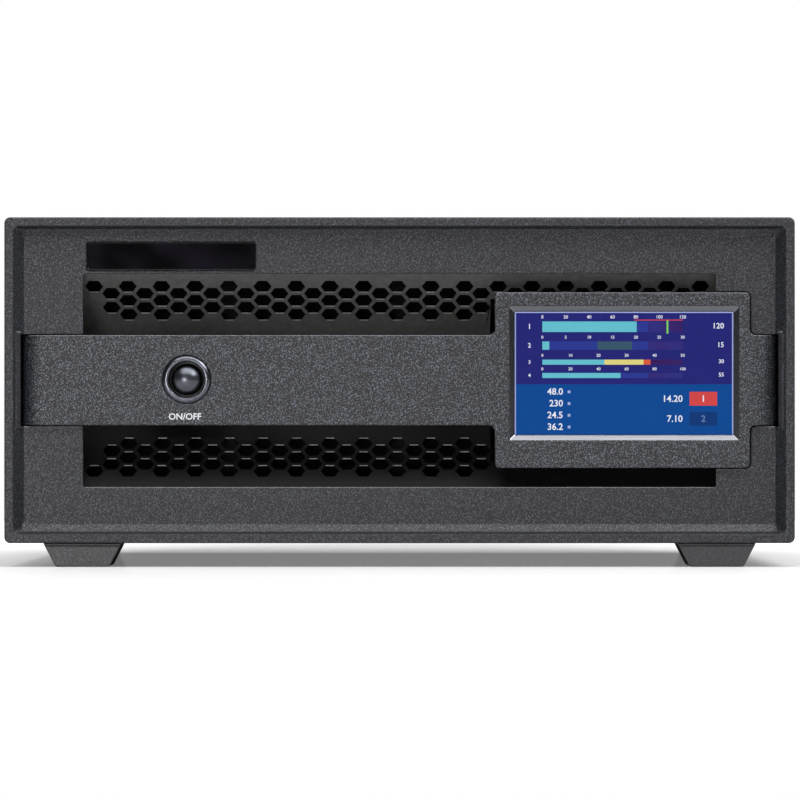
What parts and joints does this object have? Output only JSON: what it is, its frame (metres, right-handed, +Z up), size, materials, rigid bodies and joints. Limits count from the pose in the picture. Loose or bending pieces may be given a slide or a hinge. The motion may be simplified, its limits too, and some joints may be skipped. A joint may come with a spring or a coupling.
{
  "type": "radio-frequency linear amplifier",
  "caption": "Desktop solid-state linear amplifier: framed front with honeycomb air intakes, raised band with a push button and display, rear fans, coaxial sockets and mains inlet.",
  "frame": {"origin": "floor under the middle of the whole box, feet and rear connectors included", "axes": "+X to the right seen from the front, +Y to the back, +Z up"},
  "size_m": [0.343, 0.4, 0.1516],
  "materials": {
    "frame_coat": "fine textured powder coat, satin",
    "fascia_coat": "fine textured powder coat, satin",
    "case_coat": "textured powder coat, satin",
    "grille_coat": "thin matt black paint on steel",
    "badge_dome": "clear doming over black",
    "ring_gloss": "polished black",
    "cap_gloss": "polished dark",
    "lens_glass": "clear cover window",
    "screen": "lit display panel",
    "circuit_board": "glass epoxy with solder mask",
    "zinc_steel": "zinc plated sheet",
    "nickel": "nickel plate",
    "black_steel": "black oxide screws",
    "aluminium": "extruded, black anodised",
    "copper": "milled copper",
    "black_plastic": "moulded, fine spark texture",
    "ferrite": "sintered ferrite",
    "package_ceramic": "ceramic package on a plated flange",
    "enamel_wire": "enamelled copper on a toroid core",
    "capacitor_sleeve": "shrink sleeve",
    "foot_moulding": "moulded, fine texture"
  },
  "bodies": {
    "amplifier": {"front_frame": "frame_coat", "center_fascia": "fascia_coat", "upper_grille": "grille_coat", "lower_grille": "grille_coat", "badge_plate": "badge_dome", "button_bezel": "ring_gloss", "button_spring": "zinc_steel", "button_switch": "black_plastic", "button_board": "circuit_board", "display_lens": "lens_glass", "display_module": "screen", "display_board": "circuit_board", "display_carrier": "zinc_steel", "front_subpanel": "grille_coat", "fascia_posts": "nickel", "front_screws": "zinc_steel", "bottom_chassis": "case_coat", "top_cover": "case_coat", "rear_panel": "case_coat", "cover_screws": "black_steel", "rear_screws": "zinc_steel", "foot_front_left": "foot_moulding", "foot_front_right": "foot_moulding", "foot_rear_left": "foot_moulding", "foot_rear_right": "foot_moulding", "foot_screws": "zinc_steel", "heatsink": "aluminium", "heat_spreader": "copper", "rf_board": "circuit_board", "rf_transistors": "package_ceramic", "rf_transformers": "ferrite", "air_duct": "zinc_steel", "filter_board": "circuit_board", "filter_inductors": "enamel_wire", "filter_relays": "black_plastic", "filter_capacitors": "capacitor_sleeve", "rf_shield": "zinc_steel", "fan_frame_left": "black_plastic", "fan_frame_right": "black_plastic", "fan_guards": "nickel", "fan_screws": "zinc_steel", "supply_case": "zinc_steel", "supply_board": "circuit_board", "supply_transformer": "ferrite", "supply_capacitors": "capacitor_sleeve", "mains_filter": "zinc_steel", "control_board": "circuit_board", "network_jack": "zinc_steel", "accessory_port": "zinc_steel", "keying_jacks": "nickel", "rf_sockets": "nickel", "ground_terminal": "nickel", "mains_inlet": "black_plastic", "inlet_pins": "nickel", "mains_switch_body": "black_plastic", "internal_cables": "black_plastic"},
    "button": {"button_cap": "cap_gloss"},
    "fan_left": {"fan_rotor_left": "black_plastic"},
    "fan_right": {"fan_rotor_right": "black_plastic"},
    "rocker": {"mains_rocker": "black_plastic"}
  },
  "joints": [
    {"name": "button_press", "type": "slide", "parent": "amplifier", "child": "button", "axis": [0, 1, 0], "range_m": [0, 0.002], "stiffness_N_per_m": 700, "springref_m": -0.0015, "deforming": ["button_spring"]},
    {"name": "fan_left_spin", "type": "hinge", "parent": "amplifier", "child": "fan_left", "pos_m": [-0.035, 0.17, 0.056], "axis": [0, 1, 0], "continuous": true},
    {"name": "fan_right_spin", "type": "hinge", "parent": "amplifier", "child": "fan_right", "pos_m": [0.047, 0.17, 0.056], "axis": [0, 1, 0], "continuous": true},
    {"name": "rocker_tilt", "type": "hinge", "parent": "amplifier", "child": "rocker", "pos_m": [-0.128, 0.181, 0.098], "axis": [1, 0, 0], "range_deg": [0, 20]}
  ]
}
